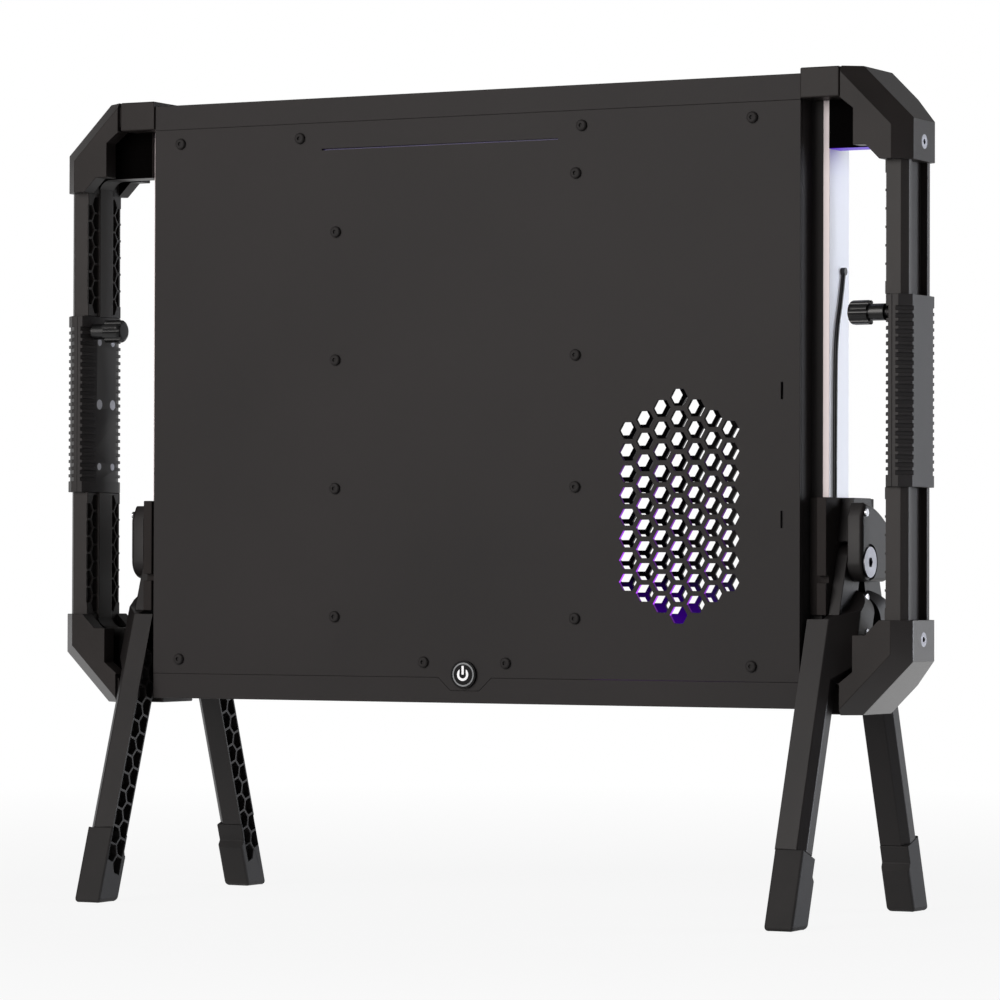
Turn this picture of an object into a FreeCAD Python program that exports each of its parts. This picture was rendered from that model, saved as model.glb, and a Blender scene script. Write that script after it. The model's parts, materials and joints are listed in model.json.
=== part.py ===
import FreeCAD, Part
import math
import os
from FreeCAD import Vector

# Portable mini-ITX computer case: a flat cased frame carried between two handles, on four splayed legs.
# Millimetres, +Z up, X across the case, -Y towards the back panel with the power button.
# The origin lies on the floor, midway between the feet.

# Case frame
PANEL_W = 488.0            # back panel and rails, across
PANEL_H = 375.0            # back panel between the rails
RAIL_FACE = 17.0           # height of a rail's visible face
FRAME_DEPTH = 51.0         # rails, from the back face to the front face
CASE_DEPTH = 97.0          # back panel to the face of the front cover
SHEET = 2.5                # wall of panels, rails and uprights
RAIL_LIP = 16.0            # ledge behind the edge of a panel
GROUND_CLEARANCE = 138.0   # floor to the underside of the bottom rail
PORT_W = 160.0             # port window in the top rail, across
PORT_D = 36.0              # port window in the top rail, front to back
COVER_INSET_X = 24.0       # step from the cover's rim to its raised box, at the sides
COVER_INSET_Z = 18.0       # the same at the top and bottom
UPRIGHT_STEP_Y = 18.8      # depth at which an upright steps outwards
UPRIGHT_STEP_X = 7.6       # how far it steps
DIFFUSER_T = 4.6           # opal side panel, thickness
DIFFUSER_GAP = 0.4         # its front edge, short of the frame's front face

# Fastenings of the panels
SCREW_D = 4.0
SCREW_HEAD_D = 7.6
SCREW_HEAD_H = 2.2
SCREW_SOCKET = 2.5
SCREW_L = 8.0
SCREW_PLAY = 0.2
SCREW_EDGE = 10.0          # panel edge to a screw's centre
TOP_SCREW_X = (-223.0, -128.0, 86.5, 210.0)
BOTTOM_SCREW_X = (-223.0, -31.0, 31.0, 210.0)
BOARD_X = -8.7             # centre of the motherboard tray
BOARD_Z = -17.0            # the same, from the middle of the panel
COLUMN_PITCH = 182.0       # between the two rows of tray screws
LEFT_ROWS = (-147.5, -60.8, 26.2, 113.0)
RIGHT_ROWS = (-147.5, -60.8, 26.2, 146.2)

# Motherboard tray
BAR_W = 14.0               # upright bars that carry the tray
BAR_D = 8.0
TRAY_H = 190.0
TRAY_T = 2.0
BOARD_HOLE_X = 154.94
BOARD_HOLE_Z = 157.48
STANDOFF_D = 6.0
STANDOFF_H = 6.5
STANDOFF_BORE = 3.0

# Slots and vents
LED_SLOT_X = -21.0
LED_SLOT_Z = 169.3         # above the middle of the panel
LED_SLOT_L = 180.0
LED_SLOT_H = 1.0
LED_BAR_H = 4.0
LED_BAR_T = 2.0
EDGE_SLOT_X = 231.2
EDGE_SLOT_Z = (0.4, -82.7)
EDGE_SLOT_H = 11.0
EDGE_SLOT_W = 1.5
VENT_PITCH = 14.2
VENT_HOLE = 10.9           # across flats
VENT_X = 157.8
VENT_Z = -73.8             # from the middle of the panel
VENT_COUNTS = (8, 9, 10, 11, 10, 9, 8)
FRONT_VENT_COLUMNS = 10
FRONT_VENT_COUNT = 11
FRONT_VENT_X = 115.2
FRONT_VENT_Z = -68.3
GLOW_BAR_L = 90.0
GLOW_BAR_H = 4.0
GLOW_BAR_DROP = 12.0       # below the lowest holes of the front vent

# Power button
BUTTON_RISE = 2.1          # centre above the lower edge of the panel
BUTTON_TAB_DROP = 8.7
BUTTON_TAB_W = 21.5
BUTTON_TAB_TOP_W = 40.0
BUTTON_FLANGE_D = 18.6
BUTTON_FLANGE_T = 2.0
BUTTON_BARREL_D = 16.0
BUTTON_BARREL_L = 20.0
BUTTON_CAP_D = 13.7
BUTTON_CAP_T = 7.0
BUTTON_PROUD = 0.5
BUTTON_PLAY = 0.05
BUTTON_GAP = 2.0           # cap to the switch behind it
RING_D = 15.9
RING_T = 1.2
SYMBOL_D = 8.4
SYMBOL_W = 1.6
SYMBOL_T = 0.2
NUT_AF = 19.0
NUT_T = 2.5

# Corner brackets, end blocks and handles
BLOCK_W = 27.5             # end block, along the rail
BLOCK_OVER = 3.5           # its top above the rail
BLOCK_UNDER = 0.8          # its underside above the rail's lower edge
BLOCK_PROUD = 1.6          # its face in front of the rail's face
BLOCK_LEG_CUT = 13.0       # bottom blocks start this far behind the back panel
TONGUE_L = 32.0
TONGUE_W = 23.0
TONGUE_T = 10.0
BRACKET_OUT = 75.4         # panel edge to the bracket's outer face
BRACKET_H = 61.0           # bracket, along the handle
BRACKET_TOP = 13.4         # flat part of its top
BRACKET_CHAMFER = 11.0
BRACKET_BACK_CUT = 16.0    # outer upright edge at the back, cut away along X
BRACKET_SEAM = 1.2         # open joint round its end that meets the end block
BRACKET_SEAM_D = 3.0
BRACKET_PROUD = 3.3        # its face in front of the back panel
BRACKET_POCKET_W = 33.0
BRACKET_WEB_W = 18.0
BRACKET_WALL = 15.0
BRACKET_SHOULDER_X = 10.3  # steps of the inner contour
BRACKET_SHOULDER_Z = 8.0
BRACKET_MOUTH = 19.3
BRACKET_MOUTH_RISE = 9.7
BRACKET_SCREW_D = 9.4
BRACKET_SCREW_L = 14.0
BRACKET_SCREW_RISE = 12.5
SOCKET_DEPTH = 20.0        # handle rail inside a bracket
HANDLE_IN = 57.0           # panel edge to the rail's inner face
HANDLE_W = 15.2
HANDLE_D = 42.4
HANDLE_CHAMFER = 4.0
HANDLE_GROOVE_W = 25.5
HANDLE_GROOVE_D = 5.0
SPINE_W = 17.0
SPINE_H = 1.6
HANDLE_CELL = 11.8         # pitch of the honeycomb pockets
CELL_WALL = 1.5
CELL_DEPTH = 4.0
CELL_LIP = 1.6             # along the rail's edges, where the pockets run out
CELL_LIP_DEPTH = 0.8

# Hand grips and their knobs
GRIP_L = 123.0
GRIP_DROP = 0.5            # its middle below the middle of the handle
GRIP_W = 19.5
GRIP_D = 50.0
GRIP_INSET = 1.5           # inner face of the grip from the rail's inner face
GRIP_WALL = 4.5            # between its inner face and the seat cut in the rail
GRIP_SEAM = 8.0            # inner face to the parting line
GRIP_OUT_CHAMFER = 7.0
GRIP_IN_CHAMFER_X = 4.0
GRIP_IN_CHAMFER_Y = 9.0
RIB_PITCH = 5.0
RIB_GROOVE = 2.8
RIB_DEPTH = 1.4
RIB_COUNT = 22
GRIP_SCREW_Y = 8.5
GRIP_SCREW_END = 18.0
GRIP_SCREW_D = 7.0
GRIP_SCREW_SMALL_D = 5.0
GRIP_SCREW_HEAD = 1.2
GRIP_SCREW_SHANK = 3.0
GRIP_SCREW_L = 12.0
KNOB_Y = -15.5             # from the middle of the handle
KNOB_DROP = 11.0           # below the top of the grip
KNOB_D = 16.0
KNOB_HEAD = 13.8
KNOB_NECK = 10.5
KNOB_NECK_D = 11.0
KNOB_STUD_D = 6.0
KNOB_FLUTE_COUNT = 8
KNOB_FLUTE_D = 3.4
KNOB_FIT = 0.05
KNOB_CLEAR = 0.3

# Leg hinges
HINGE_H = 76.0
HINGE_TOP = 136.2          # top above the underside of the bottom rail
HINGE_PLATE = 6.6
HINGE_BACK = 9.5           # back panel to its rear edge
HINGE_SPACER = 6.0         # spacer set in from that edge
HINGE_GROOVE_DROP = 50.7
HINGE_GROOVE_H = 4.5
HINGE_GROOVE_D = 5.0
HINGE_FOOT_W = 25.0        # foot on the side of the front cover, front to back
CHEEK_W = 8.8
CHEEK_H = 28.4
CHEEK_HALF = 21.2
CHEEK_TOP_HALF = 14.0
COVER_T = 10.7
COVER_ROUND = 3.0          # rounding of its outer edge
COVER_R = 12.6
COVER_PEAK = 3.2           # below the top of the hinge
COVER_SHOULDER = 12.7
COVER_DIP = 22.0           # its front corner, below the top
COVER_BULGE = 4.0          # rise of the curved edge between
PIVOT_Y = 12.3             # pivots either side of the middle
PIVOT_DROP = 41.7          # below the top of the hinge
PIVOT_D = 8.0
PIVOT_FIT = 0.05
PIVOT_CAP_D = 20.0
PIVOT_CAP_T = 2.2
PIVOT_RECESS_D = 23.6
PIVOT_RECESS = 2.0
PIVOT_SOCKET = 6.0
PIN_DEPTH = 6.0            # blind end of the front pivot in the cover
HINGE_SCREW_Y = 19.5
HINGE_SCREW_DROP = 9.7
HINGE_SCREW_HEAD_D = 5.0
HINGE_SCREW_HEAD = 1.0
SIDE_PLAY = 0.4

# Legs and feet
SPLAY = 19.0               # degrees from upright
LEG_IN = 3.3               # panel edge to the leg's inner face
LEG_W = 20.0
LEG_T = 19.2
LEG_LEAD = 18.2            # pivot to the leg's outer face
LEG_START = 44.5           # pivot to the top of the full leg
LEG_RAKE = 17.0            # fall of that top towards the case
LEG_CHAMFER = 5.0
LUG_START = 16.0           # pivot to the top of the lug
LUG_TOP = 9.0              # rear corner of that top, from the leg's axis
LUG_ROUND = 14.0           # length of its rounded outer top
LUG_SWELL = 2.0            # bulge of that rounding
LUG_EDGE = (-3.0, 34.0)    # corner of its rear edge
LUG_END = 72.0
LUG_TAPER = 12.0
NECK_L = 40.0              # neck between the hinge plate and the cover
FOOT_H = 50.5              # joint with the foot above the floor, at the outer face
FOOT_GROW = 0.2
FOOT_STEP = 4.0
FOOT_STEP_DROP = 16.0
FOOT_ROUND = 2.0
FOOT_CELL_RUN = 34.0       # honeycomb of the leg, carried on down the foot
SPIGOT = 9.0
SPIGOT_L = 16.0
LEG_CELL = 12.6
LEG_CELL_DEPTH = 5.0
LEG_CELL_EDGE = 1.2
LEG_CELL_START = 64.0

# Lead on the right side panel
LEAD_D = 3.0
BOOT_D = 5.0
LEAD_POINTS = ((-10.1, 421.1), (-14.0, 403.0), (-21.5, 382.0), (-23.8, 354.0))
LEAD_END_Y = -24.0

os.makedirs("parts", exist_ok=True)

half_w = PANEL_W / 2
back_y = -CASE_DEPTH / 2
front_y = CASE_DEPTH / 2
frame_y = back_y + FRAME_DEPTH
handle_y = back_y + FRAME_DEPTH / 2
rail_z0 = GROUND_CLEARANCE
panel_z0 = rail_z0 + RAIL_FACE
panel_z1 = panel_z0 + PANEL_H
rail_z1 = panel_z1 + RAIL_FACE
mid_z = (panel_z0 + panel_z1) / 2


def box(x0, x1, y0, y1, z0, z1):
    return Part.makeBox(x1 - x0, y1 - y0, z1 - z0, Vector(x0, y0, z0))


def prism(points, travel):
    return Part.Face(Part.makePolygon(points + points[:1])).extrude(travel)


def prism_x(points, x0, x1):
    return prism([Vector(x0, y, z) for y, z in points], Vector(x1 - x0, 0, 0))


def prism_y(points, y0, y1):
    return prism([Vector(x, y0, z) for x, z in points], Vector(0, y1 - y0, 0))


def prism_z(points, z0, z1):
    return prism([Vector(x, y, z0) for x, y in points], Vector(0, 0, z1 - z0))


def rod_x(x0, x1, y, z, d):
    return Part.makeCylinder(d / 2, x1 - x0, Vector(x0, y, z), Vector(1, 0, 0))


def rod_y(x, y0, y1, z, d):
    return Part.makeCylinder(d / 2, y1 - y0, Vector(x, y0, z), Vector(0, 1, 0))


def hexagon(across_flats, first_angle):
    corner = across_flats / math.sqrt(3)
    angles = [math.radians(first_angle + 60 * i) for i in range(6)]
    return [(corner * math.cos(a), corner * math.sin(a)) for a in angles]


def mirror_x(shape):
    return shape.mirror(Vector(0, 0, 0), Vector(1, 0, 0))


def mirror_y(shape):
    return shape.mirror(Vector(0, 0, 0), Vector(0, 1, 0))


def mirror_z(shape):
    return shape.mirror(Vector(0, 0, mid_z), Vector(0, 0, 1))


def join(shapes):
    return shapes[0].multiFuse(shapes[1:]).removeSplitter()


def save(shape, name):
    shape.exportStep("parts/" + name + ".step")


def save_pair(right_shape, name):
    save(right_shape, "right_" + name)
    save(mirror_x(right_shape), "left_" + name)


# Panel screws: button heads with a hex socket
edge_screws = [(x, panel_z1 - SCREW_EDGE) for x in TOP_SCREW_X]
edge_screws += [(x, panel_z0 + SCREW_EDGE) for x in BOTTOM_SCREW_X]
column_left = BOARD_X - COLUMN_PITCH / 2
column_right = BOARD_X + COLUMN_PITCH / 2
column_screws = [(column_left, mid_z + z) for z in LEFT_ROWS]
column_screws += [(column_right, mid_z + z) for z in RIGHT_ROWS]


def panel_screw(x, face_y, z, inward):
    head = rod_y(0, -SCREW_HEAD_H, 0, 0, SCREW_HEAD_D)
    rim = [e for e in head.Edges if abs(e.CenterOfMass.y + SCREW_HEAD_H) < 0.01]
    head = head.makeFillet(SCREW_HEAD_H * 0.6, rim)
    socket = prism_y(hexagon(SCREW_SOCKET, 0), -SCREW_HEAD_H, -SCREW_HEAD_H / 2)
    screw = join([head, rod_y(0, 0, SCREW_L, 0, SCREW_D)]).cut(socket)
    if inward < 0:
        screw.rotate(Vector(0, 0, 0), Vector(0, 0, 1), 180)
    screw.translate(Vector(x, face_y, z))
    return screw


def screw_holes(places, y0, y1):
    holes = [rod_y(x, y0, y1, z, SCREW_D + 2 * SCREW_PLAY) for x, z in places]
    return Part.makeCompound(holes)


# Power button's axis and the tab of the panel round it
button_z = panel_z0 + BUTTON_RISE
tab = [(-BUTTON_TAB_TOP_W / 2, panel_z0), (-BUTTON_TAB_W / 2, panel_z0 - BUTTON_TAB_DROP),
       (BUTTON_TAB_W / 2, panel_z0 - BUTTON_TAB_DROP), (BUTTON_TAB_TOP_W / 2, panel_z0)]
barrel_hole_d = BUTTON_BARREL_D + 2 * SCREW_PLAY

# Rails: channels with a stepped ledge on which the panels sit flush
section = [(back_y, rail_z1), (back_y, panel_z1), (back_y + SHEET, panel_z1),
           (back_y + SHEET, panel_z1 - RAIL_LIP), (back_y + 2 * SHEET, panel_z1 - RAIL_LIP),
           (back_y + 2 * SHEET, rail_z1 - SHEET), (frame_y - 2 * SHEET, rail_z1 - SHEET),
           (frame_y - 2 * SHEET, panel_z1 - RAIL_LIP), (frame_y - SHEET, panel_z1 - RAIL_LIP),
           (frame_y - SHEET, panel_z1), (frame_y, panel_z1), (frame_y, rail_z1)]
rail = prism_x(section, -half_w, half_w)
for x0, x1 in ((-half_w, -half_w + SHEET), (half_w - SHEET, half_w)):
    rail = rail.cut(box(x0, x1, back_y, frame_y, panel_z1 - RAIL_LIP, panel_z1))
rail_screws = screw_holes(edge_screws, back_y, frame_y)
port = box(BOARD_X - PORT_W / 2, BOARD_X + PORT_W / 2, handle_y - PORT_D / 2, handle_y + PORT_D / 2,
           rail_z1 - SHEET, rail_z1)
top_rail = rail.cut(rail_screws).cut(port)
bottom_rail = mirror_z(rail).cut(rail_screws)
bottom_rail = bottom_rail.cut(prism_y(tab, back_y, back_y + SHEET))
bottom_rail = bottom_rail.cut(rod_y(0, back_y, handle_y, button_z, barrel_hole_d))
save(top_rail, "top_rail")
save(bottom_rail, "bottom_rail")


# Vents: columns of flat-topped hexagons
def vent_holes(columns, x, z, y0, y1):
    column_pitch = VENT_PITCH * math.sqrt(3) / 2
    outline = hexagon(VENT_HOLE, 0)
    holes = []
    for i, (count, shift) in enumerate(columns):
        cx = x + (i - (len(columns) - 1) / 2) * column_pitch
        for k in range(count):
            cz = z + (k - (count - 1) / 2 + shift) * VENT_PITCH
            holes.append(prism_y([(cx + a, cz + b) for a, b in outline], y0, y1))
    return Part.makeCompound(holes)


# Back panel
panel_y = back_y + SHEET
led_z = mid_z + LED_SLOT_Z
back_panel = box(-half_w, half_w, back_y, panel_y, panel_z0, panel_z1)
back_panel = join([back_panel, prism_y(tab, back_y, panel_y)])
back_panel = back_panel.cut(screw_holes(edge_screws + column_screws, back_y, panel_y))
back_panel = back_panel.cut(rod_y(0, back_y, panel_y, button_z, barrel_hole_d))
back_panel = back_panel.cut(box(LED_SLOT_X - LED_SLOT_L / 2, LED_SLOT_X + LED_SLOT_L / 2, back_y, panel_y,
                                led_z - LED_SLOT_H / 2, led_z + LED_SLOT_H / 2))
for z in EDGE_SLOT_Z:
    back_panel = back_panel.cut(box(EDGE_SLOT_X - EDGE_SLOT_W / 2, EDGE_SLOT_X + EDGE_SLOT_W / 2,
                                    back_y, panel_y, mid_z + z - EDGE_SLOT_H / 2,
                                    mid_z + z + EDGE_SLOT_H / 2))
back_columns = [(count, 0) for count in VENT_COUNTS]
back_panel = back_panel.cut(vent_holes(back_columns, VENT_X, mid_z + VENT_Z, back_y, panel_y))
save(back_panel, "back_panel")
save(Part.makeCompound([panel_screw(x, back_y, z, 1) for x, z in edge_screws + column_screws]),
     "back_panel_screws")

# Front cover: a rim in the rails' step and a raised box with its own vent
cover_x = half_w - COVER_INSET_X
cover_z0 = panel_z0 + COVER_INSET_Z
cover_z1 = panel_z1 - COVER_INSET_Z
front_cover = join([box(-half_w, half_w, frame_y - SHEET, frame_y, panel_z0, panel_z1),
                    box(-cover_x, cover_x, frame_y - SHEET, front_y, cover_z0, cover_z1)])
front_cover = front_cover.cut(box(-cover_x + SHEET, cover_x - SHEET, frame_y - SHEET, front_y - SHEET,
                                  cover_z0 + SHEET, cover_z1 - SHEET))
front_columns = [(FRONT_VENT_COUNT, 0.5 * (i % 2)) for i in range(FRONT_VENT_COLUMNS)]
front_cover = front_cover.cut(vent_holes(front_columns, FRONT_VENT_X, mid_z + FRONT_VENT_Z,
                                         front_y - SHEET, front_y))
front_cover = front_cover.cut(screw_holes(edge_screws, frame_y - SHEET, frame_y))
save(front_cover, "front_cover")
save(Part.makeCompound([panel_screw(x, frame_y, z, -1) for x, z in edge_screws]), "front_cover_screws")

# Light bars behind the slot and below the front vent
save(box(LED_SLOT_X - LED_SLOT_L / 2, LED_SLOT_X + LED_SLOT_L / 2, panel_y, panel_y + LED_BAR_T,
         led_z - LED_BAR_H / 2, led_z + LED_BAR_H / 2), "slot_light_bar")
glow_z = mid_z + FRONT_VENT_Z - VENT_PITCH * FRONT_VENT_COUNT / 2 - GLOW_BAR_DROP
save(box(FRONT_VENT_X - GLOW_BAR_L / 2, FRONT_VENT_X + GLOW_BAR_L / 2, front_y - SHEET - LED_BAR_T,
         front_y - SHEET, glow_z - GLOW_BAR_H, glow_z), "vent_light_bar")

# Tray bars, motherboard tray and standoffs
bar_y = panel_y + BAR_D
bar_z0 = panel_z0 + RAIL_LIP
bar_z1 = led_z - LED_BAR_H / 2
for x, name in ((column_left, "left_tray_bar"), (column_right, "right_tray_bar")):
    bar = box(x - BAR_W / 2, x + BAR_W / 2, panel_y, bar_y, bar_z0, bar_z1)
    save(bar.cut(screw_holes(column_screws, panel_y, bar_y)), name)
board_z = mid_z + BOARD_Z
tray_y = bar_y + TRAY_T
tray = box(column_left - BAR_W / 2, column_right + BAR_W / 2, bar_y, tray_y,
           board_z - TRAY_H / 2, board_z + TRAY_H / 2)
save(tray, "motherboard_tray")
standoffs = []
for x in (BOARD_X - BOARD_HOLE_X / 2, BOARD_X + BOARD_HOLE_X / 2):
    for z in (board_z - BOARD_HOLE_Z / 2, board_z + BOARD_HOLE_Z / 2):
        post = rod_y(x, tray_y, tray_y + STANDOFF_H, z, STANDOFF_D)
        standoffs.append(post.cut(rod_y(x, tray_y + TRAY_T, tray_y + STANDOFF_H, z, STANDOFF_BORE)))
save(Part.makeCompound(standoffs), "motherboard_standoffs")

# Power button: bezel with its barrel, light ring, cap, switch and nut
flange_y = back_y - BUTTON_FLANGE_T
barrel_y = back_y + BUTTON_BARREL_L
bore_d = BUTTON_CAP_D + 2 * BUTTON_PLAY
bezel = join([rod_y(0, flange_y, back_y, button_z, BUTTON_FLANGE_D),
              rod_y(0, back_y, barrel_y, button_z, BUTTON_BARREL_D)])
bezel = bezel.cut(rod_y(0, flange_y, flange_y + RING_T, button_z, RING_D))
bezel = bezel.cut(rod_y(0, flange_y, barrel_y, button_z, bore_d))
save(bezel, "power_button_bezel")
ring = rod_y(0, flange_y, flange_y + RING_T, button_z, RING_D)
save(ring.cut(rod_y(0, flange_y, flange_y + RING_T, button_z, bore_d)), "power_button_ring")
cap_y = flange_y - BUTTON_PROUD
save(rod_y(0, cap_y, cap_y + BUTTON_CAP_T, button_z, BUTTON_CAP_D), "power_button_cap")
symbol_out = rod_y(0, cap_y - SYMBOL_T, cap_y, button_z, SYMBOL_D)
symbol_ring = symbol_out.cut(rod_y(0, cap_y - SYMBOL_T, cap_y, button_z, SYMBOL_D - 2 * SYMBOL_W))
gap = box(-1.5 * SYMBOL_W, 1.5 * SYMBOL_W, cap_y - SYMBOL_T, cap_y, button_z, button_z + SYMBOL_D)
bar = box(-SYMBOL_W / 2, SYMBOL_W / 2, cap_y - SYMBOL_T, cap_y, button_z, button_z + SYMBOL_D / 2 + SYMBOL_W)
save(Part.makeCompound([symbol_ring.cut(gap), bar]), "power_button_symbol")
switch_y = cap_y + BUTTON_CAP_T + BUTTON_GAP
save(rod_y(0, switch_y, barrel_y + BUTTON_GAP, button_z, BUTTON_CAP_D), "power_switch")
nut_y = back_y + 2 * SHEET
nut = prism_y([(a, button_z + b) for a, b in hexagon(NUT_AF, 0)], nut_y, nut_y + NUT_T)
save(nut.cut(rod_y(0, nut_y, nut_y + NUT_T, button_z, barrel_hole_d)), "power_button_nut")

# End blocks on the rails, each with a tongue inside its rail
block_x = half_w + BLOCK_W
block_z0 = panel_z1 + BLOCK_UNDER
block_z1 = rail_z1 + BLOCK_OVER
tongue = box(half_w - TONGUE_L, half_w, frame_y - 2 * SHEET - TONGUE_W, frame_y - 2 * SHEET,
             rail_z1 - SHEET - TONGUE_T, rail_z1 - SHEET)
top_block = join([box(half_w, block_x, back_y - BLOCK_PROUD, frame_y + BLOCK_PROUD, block_z0, block_z1),
                  tongue])
bottom_block = join([box(half_w, block_x, back_y + BLOCK_LEG_CUT, frame_y + BLOCK_PROUD, block_z0, block_z1),
                     tongue])
bottom_block = mirror_z(bottom_block)
save_pair(top_block, "top_end_block")
save_pair(bottom_block, "bottom_end_block")

# Uprights: stepped profiles between the rails
wall_x = half_w - SHEET
step_y = back_y + UPRIGHT_STEP_Y
step_x = half_w + UPRIGHT_STEP_X
profile = [(wall_x, panel_y), (half_w, panel_y), (half_w, step_y), (step_x, step_y), (step_x, frame_y),
           (half_w, frame_y), (half_w, frame_y - SHEET), (step_x - SHEET, frame_y - SHEET),
           (step_x - SHEET, step_y + SHEET), (wall_x, step_y + SHEET)]
upright = prism_z(profile, rail_z0 + SHEET, rail_z1 - SHEET)
for fitted in (top_rail, bottom_rail, top_block, bottom_block):
    upright = upright.cut(fitted)
upright = upright.cut(box(half_w, step_x, back_y, frame_y, block_z0, rail_z1))
upright = upright.cut(mirror_z(box(half_w, step_x, back_y, frame_y, block_z0, rail_z1)))
save_pair(upright, "upright")

# Leg hinges: a plate on the upright with a spacer and a foot on the front cover
hinge_z1 = rail_z0 + HINGE_TOP
hinge_z0 = hinge_z1 - HINGE_H
plate_x = step_x + HINGE_PLATE
hinge_y = back_y + HINGE_BACK
hinge_base = join([box(step_x, plate_x, hinge_y, -hinge_y, hinge_z0, hinge_z1),
                   box(half_w, step_x, hinge_y + HINGE_SPACER, step_y, hinge_z0, hinge_z1),
                   box(cover_x, step_x, frame_y, frame_y + HINGE_FOOT_W, hinge_z0, hinge_z1)])
groove_z = hinge_z1 - HINGE_GROOVE_DROP
hinge_base = hinge_base.cut(box(step_x, plate_x, hinge_y, hinge_y + HINGE_GROOVE_D,
                                groove_z - HINGE_GROOVE_H, groove_z))
pivot_z = hinge_z1 - PIVOT_DROP
pivot_hole_d = PIVOT_D + 2 * PIVOT_FIT
for y in (-PIVOT_Y, PIVOT_Y):
    hinge_base = hinge_base.cut(rod_x(step_x, plate_x, y, pivot_z, PIVOT_D))
save_pair(hinge_base, "hinge_base")

# Hinge covers: a cheek that stands off the plate and a shaped outer plate
cheek_x = plate_x + CHEEK_W
cover_face_x = cheek_x + COVER_T
cheek = prism_x([(-CHEEK_HALF, hinge_z1 - CHEEK_H), (CHEEK_HALF, hinge_z1 - CHEEK_H),
                 (CHEEK_TOP_HALF, hinge_z1), (-CHEEK_TOP_HALF, hinge_z1)], plate_x, cheek_x)
cover_half = PIVOT_Y + COVER_R
edge_points = [(cover_half, pivot_z), (cover_half, hinge_z1 - COVER_DIP),
               (-HINGE_SCREW_Y, hinge_z1 - COVER_PEAK), (-cover_half, hinge_z1 - COVER_SHOULDER),
               (-cover_half, pivot_z), (-PIVOT_Y, pivot_z - COVER_R), (PIVOT_Y, pivot_z - COVER_R)]
front, brow, peak, shoulder, back, floor_back, floor_front = [Vector(cheek_x, y, z) for y, z in edge_points]
crest = (brow + peak) * 0.5 + Vector(0, 0, COVER_BULGE)
bow_y = PIVOT_Y + COVER_R * math.sqrt(0.5)
bow_z = pivot_z - COVER_R * math.sqrt(0.5)
rim = Part.Wire([Part.LineSegment(front, brow).toShape(), Part.Arc(brow, crest, peak).toShape(),
                 Part.LineSegment(peak, shoulder).toShape(), Part.LineSegment(shoulder, back).toShape(),
                 Part.Arc(back, Vector(cheek_x, -bow_y, bow_z), floor_back).toShape(),
                 Part.LineSegment(floor_back, floor_front).toShape(),
                 Part.Arc(floor_front, Vector(cheek_x, bow_y, bow_z), front).toShape()])
outer_plate = Part.Face(rim).extrude(Vector(COVER_T, 0, 0))
outer_rim = [e for e in outer_plate.Edges if abs(e.CenterOfMass.x - cheek_x - COVER_T) < 0.01]
hinge_cover = join([outer_plate.makeFillet(COVER_ROUND, outer_rim), cheek])
recess_x = cover_face_x - PIVOT_RECESS
hinge_screw_z = hinge_z1 - HINGE_SCREW_DROP
screw_x = cover_face_x - COVER_T
hinge_cover = hinge_cover.cut(rod_x(recess_x, cover_face_x, -PIVOT_Y, pivot_z, PIVOT_RECESS_D))
hinge_cover = hinge_cover.cut(rod_x(cheek_x, recess_x, -PIVOT_Y, pivot_z, PIVOT_D))
pin_x1 = cheek_x + PIN_DEPTH
hinge_cover = hinge_cover.cut(rod_x(cheek_x, pin_x1, PIVOT_Y, pivot_z, PIVOT_D))
hinge_screw = join([rod_x(cover_face_x, cover_face_x + HINGE_SCREW_HEAD, -HINGE_SCREW_Y, hinge_screw_z,
                          HINGE_SCREW_HEAD_D),
                    rod_x(screw_x, cover_face_x, -HINGE_SCREW_Y, hinge_screw_z, GRIP_SCREW_SHANK)])
hinge_cover = hinge_cover.cut(hinge_screw)
save_pair(hinge_cover, "hinge_cover")
save(Part.makeCompound([hinge_screw, mirror_x(hinge_screw)]), "hinge_cover_screws")

# Pivots: a bolt with a socket cap in the recess for the back leg, a hidden pin for the front leg
back_bolt = join([rod_x(recess_x, recess_x + PIVOT_CAP_T, -PIVOT_Y, pivot_z, PIVOT_CAP_D),
                  rod_x(step_x, recess_x, -PIVOT_Y, pivot_z, PIVOT_D)])
bolt_socket = [(a - PIVOT_Y, b + pivot_z) for a, b in hexagon(PIVOT_SOCKET, 0)]
back_bolt = back_bolt.cut(prism_x(bolt_socket, recess_x, recess_x + PIVOT_CAP_T))
save_pair(back_bolt, "back_pivot_bolt")
save_pair(rod_x(step_x, pin_x1, PIVOT_Y, pivot_z, PIVOT_D), "front_pivot_pin")

# Legs: modelled upright below the pivot, with (y, z) measured from it, then splayed
leg_x0 = half_w + LEG_IN
leg_x1 = leg_x0 + LEG_W
lug_x0 = plate_x + SIDE_PLAY
tongue_x1 = cheek_x - SIDE_PLAY
lug_x1 = cover_face_x - SIDE_PLAY
leg_out = -LEG_LEAD
leg_back = leg_out + LEG_T
lean = math.radians(SPLAY)
lug_back = (PIVOT_Y + LUG_START * math.sin(lean) - SIDE_PLAY) / math.cos(lean)
neck_r = PIVOT_Y - SIDE_PLAY
joint_s = (pivot_z - FOOT_H + LEG_LEAD * math.sin(lean)) / math.cos(lean)
leg = prism_z([(leg_x0, leg_out), (leg_x1 - LEG_CHAMFER, leg_out), (leg_x1, leg_out + LEG_CHAMFER),
               (leg_x1, leg_back - LEG_CHAMFER), (leg_x1 - LEG_CHAMFER, leg_back), (leg_x0, leg_back)],
              -joint_s, -LEG_START)
leg = leg.cut(prism_x([(leg_out, -LEG_START), (leg_back, -LEG_START), (leg_back, -LEG_START - LEG_RAKE)],
                      leg_x0, lug_x0))
lug_foot = LUG_END + LUG_TAPER
lug_corners = [(lug_x1, -LUG_START - LUG_ROUND), (lug_x1, -LUG_END), (leg_x1, -lug_foot), (lug_x0, -lug_foot),
               (lug_x0, -LUG_START), (tongue_x1, -LUG_START)]
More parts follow.
